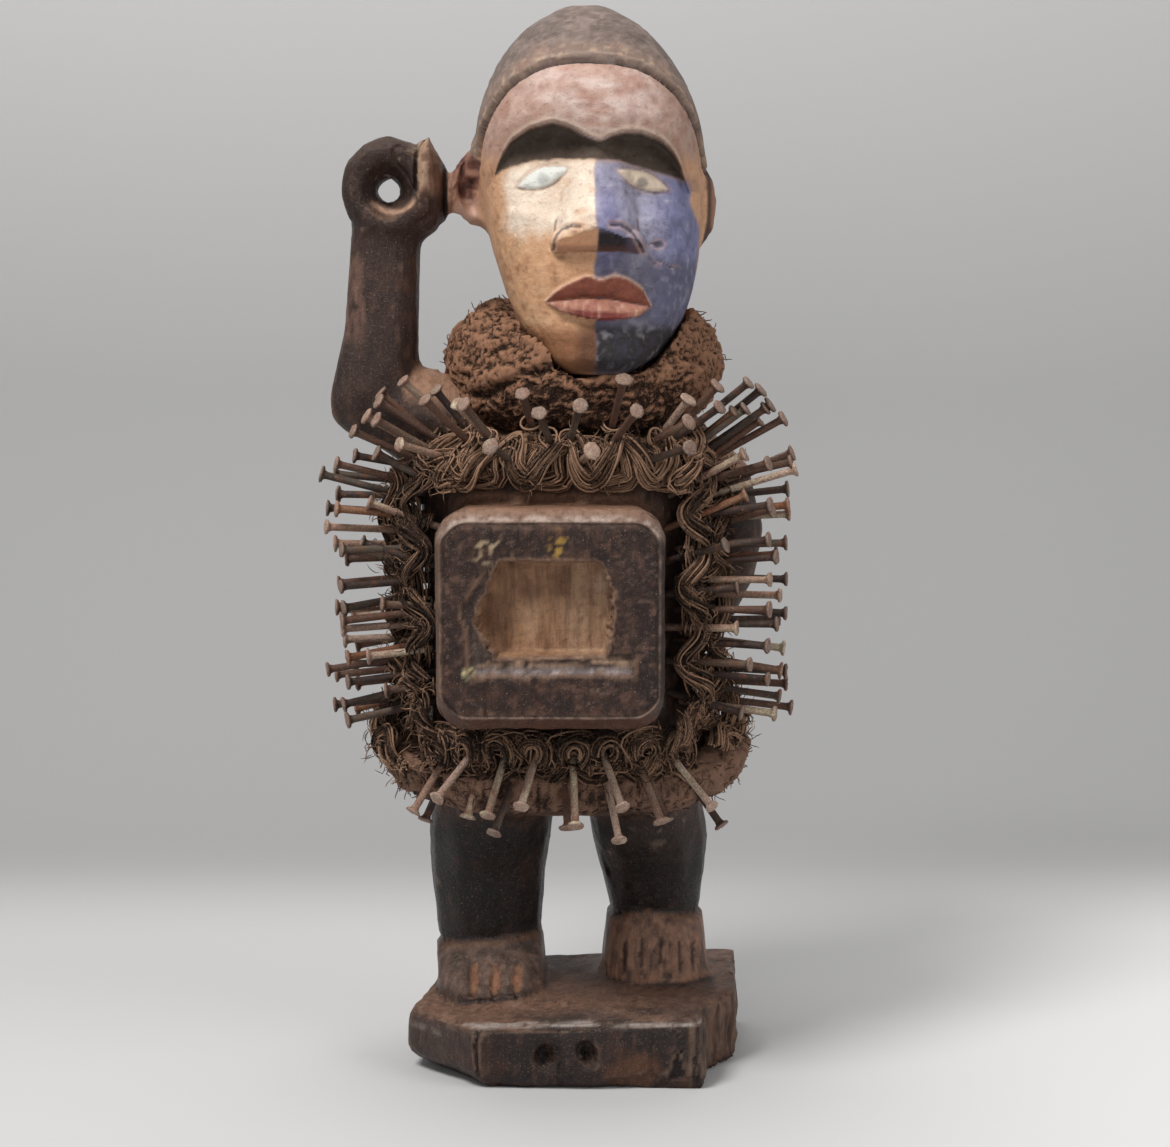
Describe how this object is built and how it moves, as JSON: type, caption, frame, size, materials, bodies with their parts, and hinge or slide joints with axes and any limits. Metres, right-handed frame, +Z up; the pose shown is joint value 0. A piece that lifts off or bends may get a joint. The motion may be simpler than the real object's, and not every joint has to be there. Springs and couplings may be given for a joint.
{
  "type": "carved figure with nails",
  "caption": "Standing carved wooden power figure with raised pierced fist, belly box, cloth neck roll, fibre wrap, and iron nails lashed with cord.",
  "frame": {"origin": "centre of the base's flat underside", "axes": "+Z up, the figure faces -Y, its raised arm is on -X"},
  "size_m": [0.2224, 0.1713, 0.4995],
  "materials": {
    "wood": "dark worn hardwood with a dusty, partly shiny patina and painted face",
    "cloth": "coarse cloth roll caked with earth",
    "fibre": "matted plant fibre",
    "cord": "twisted plant-fibre cord, dark with age",
    "iron": "rusted iron, dull"
  },
  "bodies": {
    "root": {"back_cord": "cord", "belly_cord": "cord", "belly_nail_1": "iron", "belly_nail_2": "iron", "belly_nail_3": "iron", "belly_nail_4": "iron", "belly_nail_5": "iron", "belly_nail_6": "iron", "belly_nail_7": "iron", "belly_nail_8": "iron", "carved_figure": "wood", "chest_cord": "cord", "chest_nail_1": "iron", "chest_nail_2": "iron", "chest_nail_3": "iron", "chest_nail_4": "iron", "chest_nail_5": "iron", "chest_nail_6": "iron", "chest_nail_7": "iron", "chest_nail_8": "iron", "hip_wrap": "fibre", "left_flank_cord": "cord", "left_flank_nail_1": "iron", "left_flank_nail_2": "iron", "left_flank_nail_3": "iron", "left_flank_nail_4": "iron", "left_flank_nail_5": "iron", "left_flank_nail_6": "iron", "left_flank_nail_7": "iron", "left_flank_nail_8": "iron", "left_shoulder_nail_1": "iron", "left_shoulder_nail_2": "iron", "left_side_nail_1": "iron", "left_side_nail_2": "iron", "left_side_nail_3": "iron", "left_side_nail_4": "iron", "neck_roll": "cloth", "right_flank_cord": "cord", "right_flank_nail_1": "iron", "right_flank_nail_2": "iron", "right_flank_nail_3": "iron", "right_flank_nail_4": "iron", "right_flank_nail_5": "iron", "right_flank_nail_6": "iron", "right_flank_nail_7": "iron", "right_flank_nail_8": "iron", "right_shoulder_nail_1": "iron", "right_shoulder_nail_2": "iron", "right_side_nail_1": "iron", "right_side_nail_2": "iron", "right_side_nail_3": "iron", "right_side_nail_4": "iron"}
  },
  "joints": []
}
